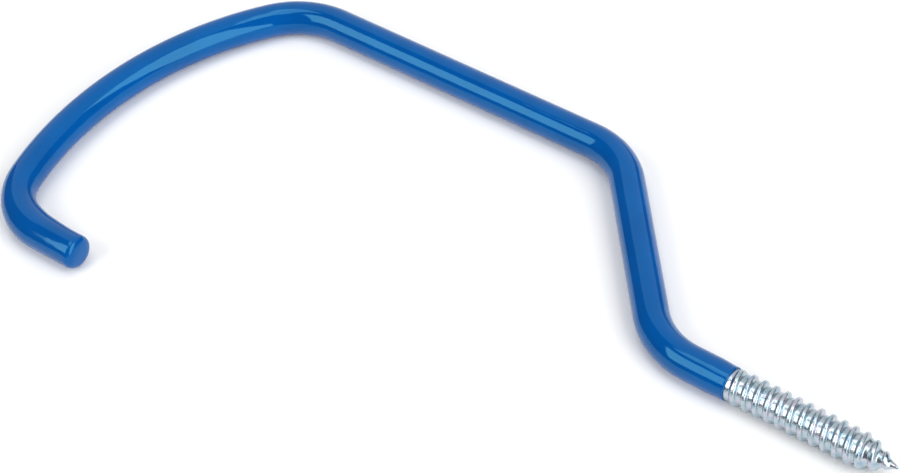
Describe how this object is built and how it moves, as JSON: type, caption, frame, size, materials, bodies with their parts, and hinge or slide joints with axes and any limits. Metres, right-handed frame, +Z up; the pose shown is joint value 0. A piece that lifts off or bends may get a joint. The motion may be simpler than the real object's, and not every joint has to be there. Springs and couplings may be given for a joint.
{
  "type": "bicycle storage hook",
  "caption": "Screw-in storage hook: round steel wire bent in one plane, vinyl-coated open hook, bare lag thread with gimlet point. Lies flat.",
  "frame": {"origin": "under the middle of the hook's outline in plan, on the surface that it lies on", "axes": "+X along the back run towards the screw, which points to +X within a degree, +Y in the plane of the bends towards the back run, +Z up from the surface, square to the plane of the bends"},
  "size_m": [0.2262, 0.1014, 0.0084],
  "materials": {
    "zinc_plate": "bright zinc plate, rolled thread",
    "vinyl": "glossy dipped blue vinyl"
  },
  "bodies": {
    "root": {"steel_rod": "zinc_plate", "vinyl_coating": "vinyl"}
  },
  "joints": []
}
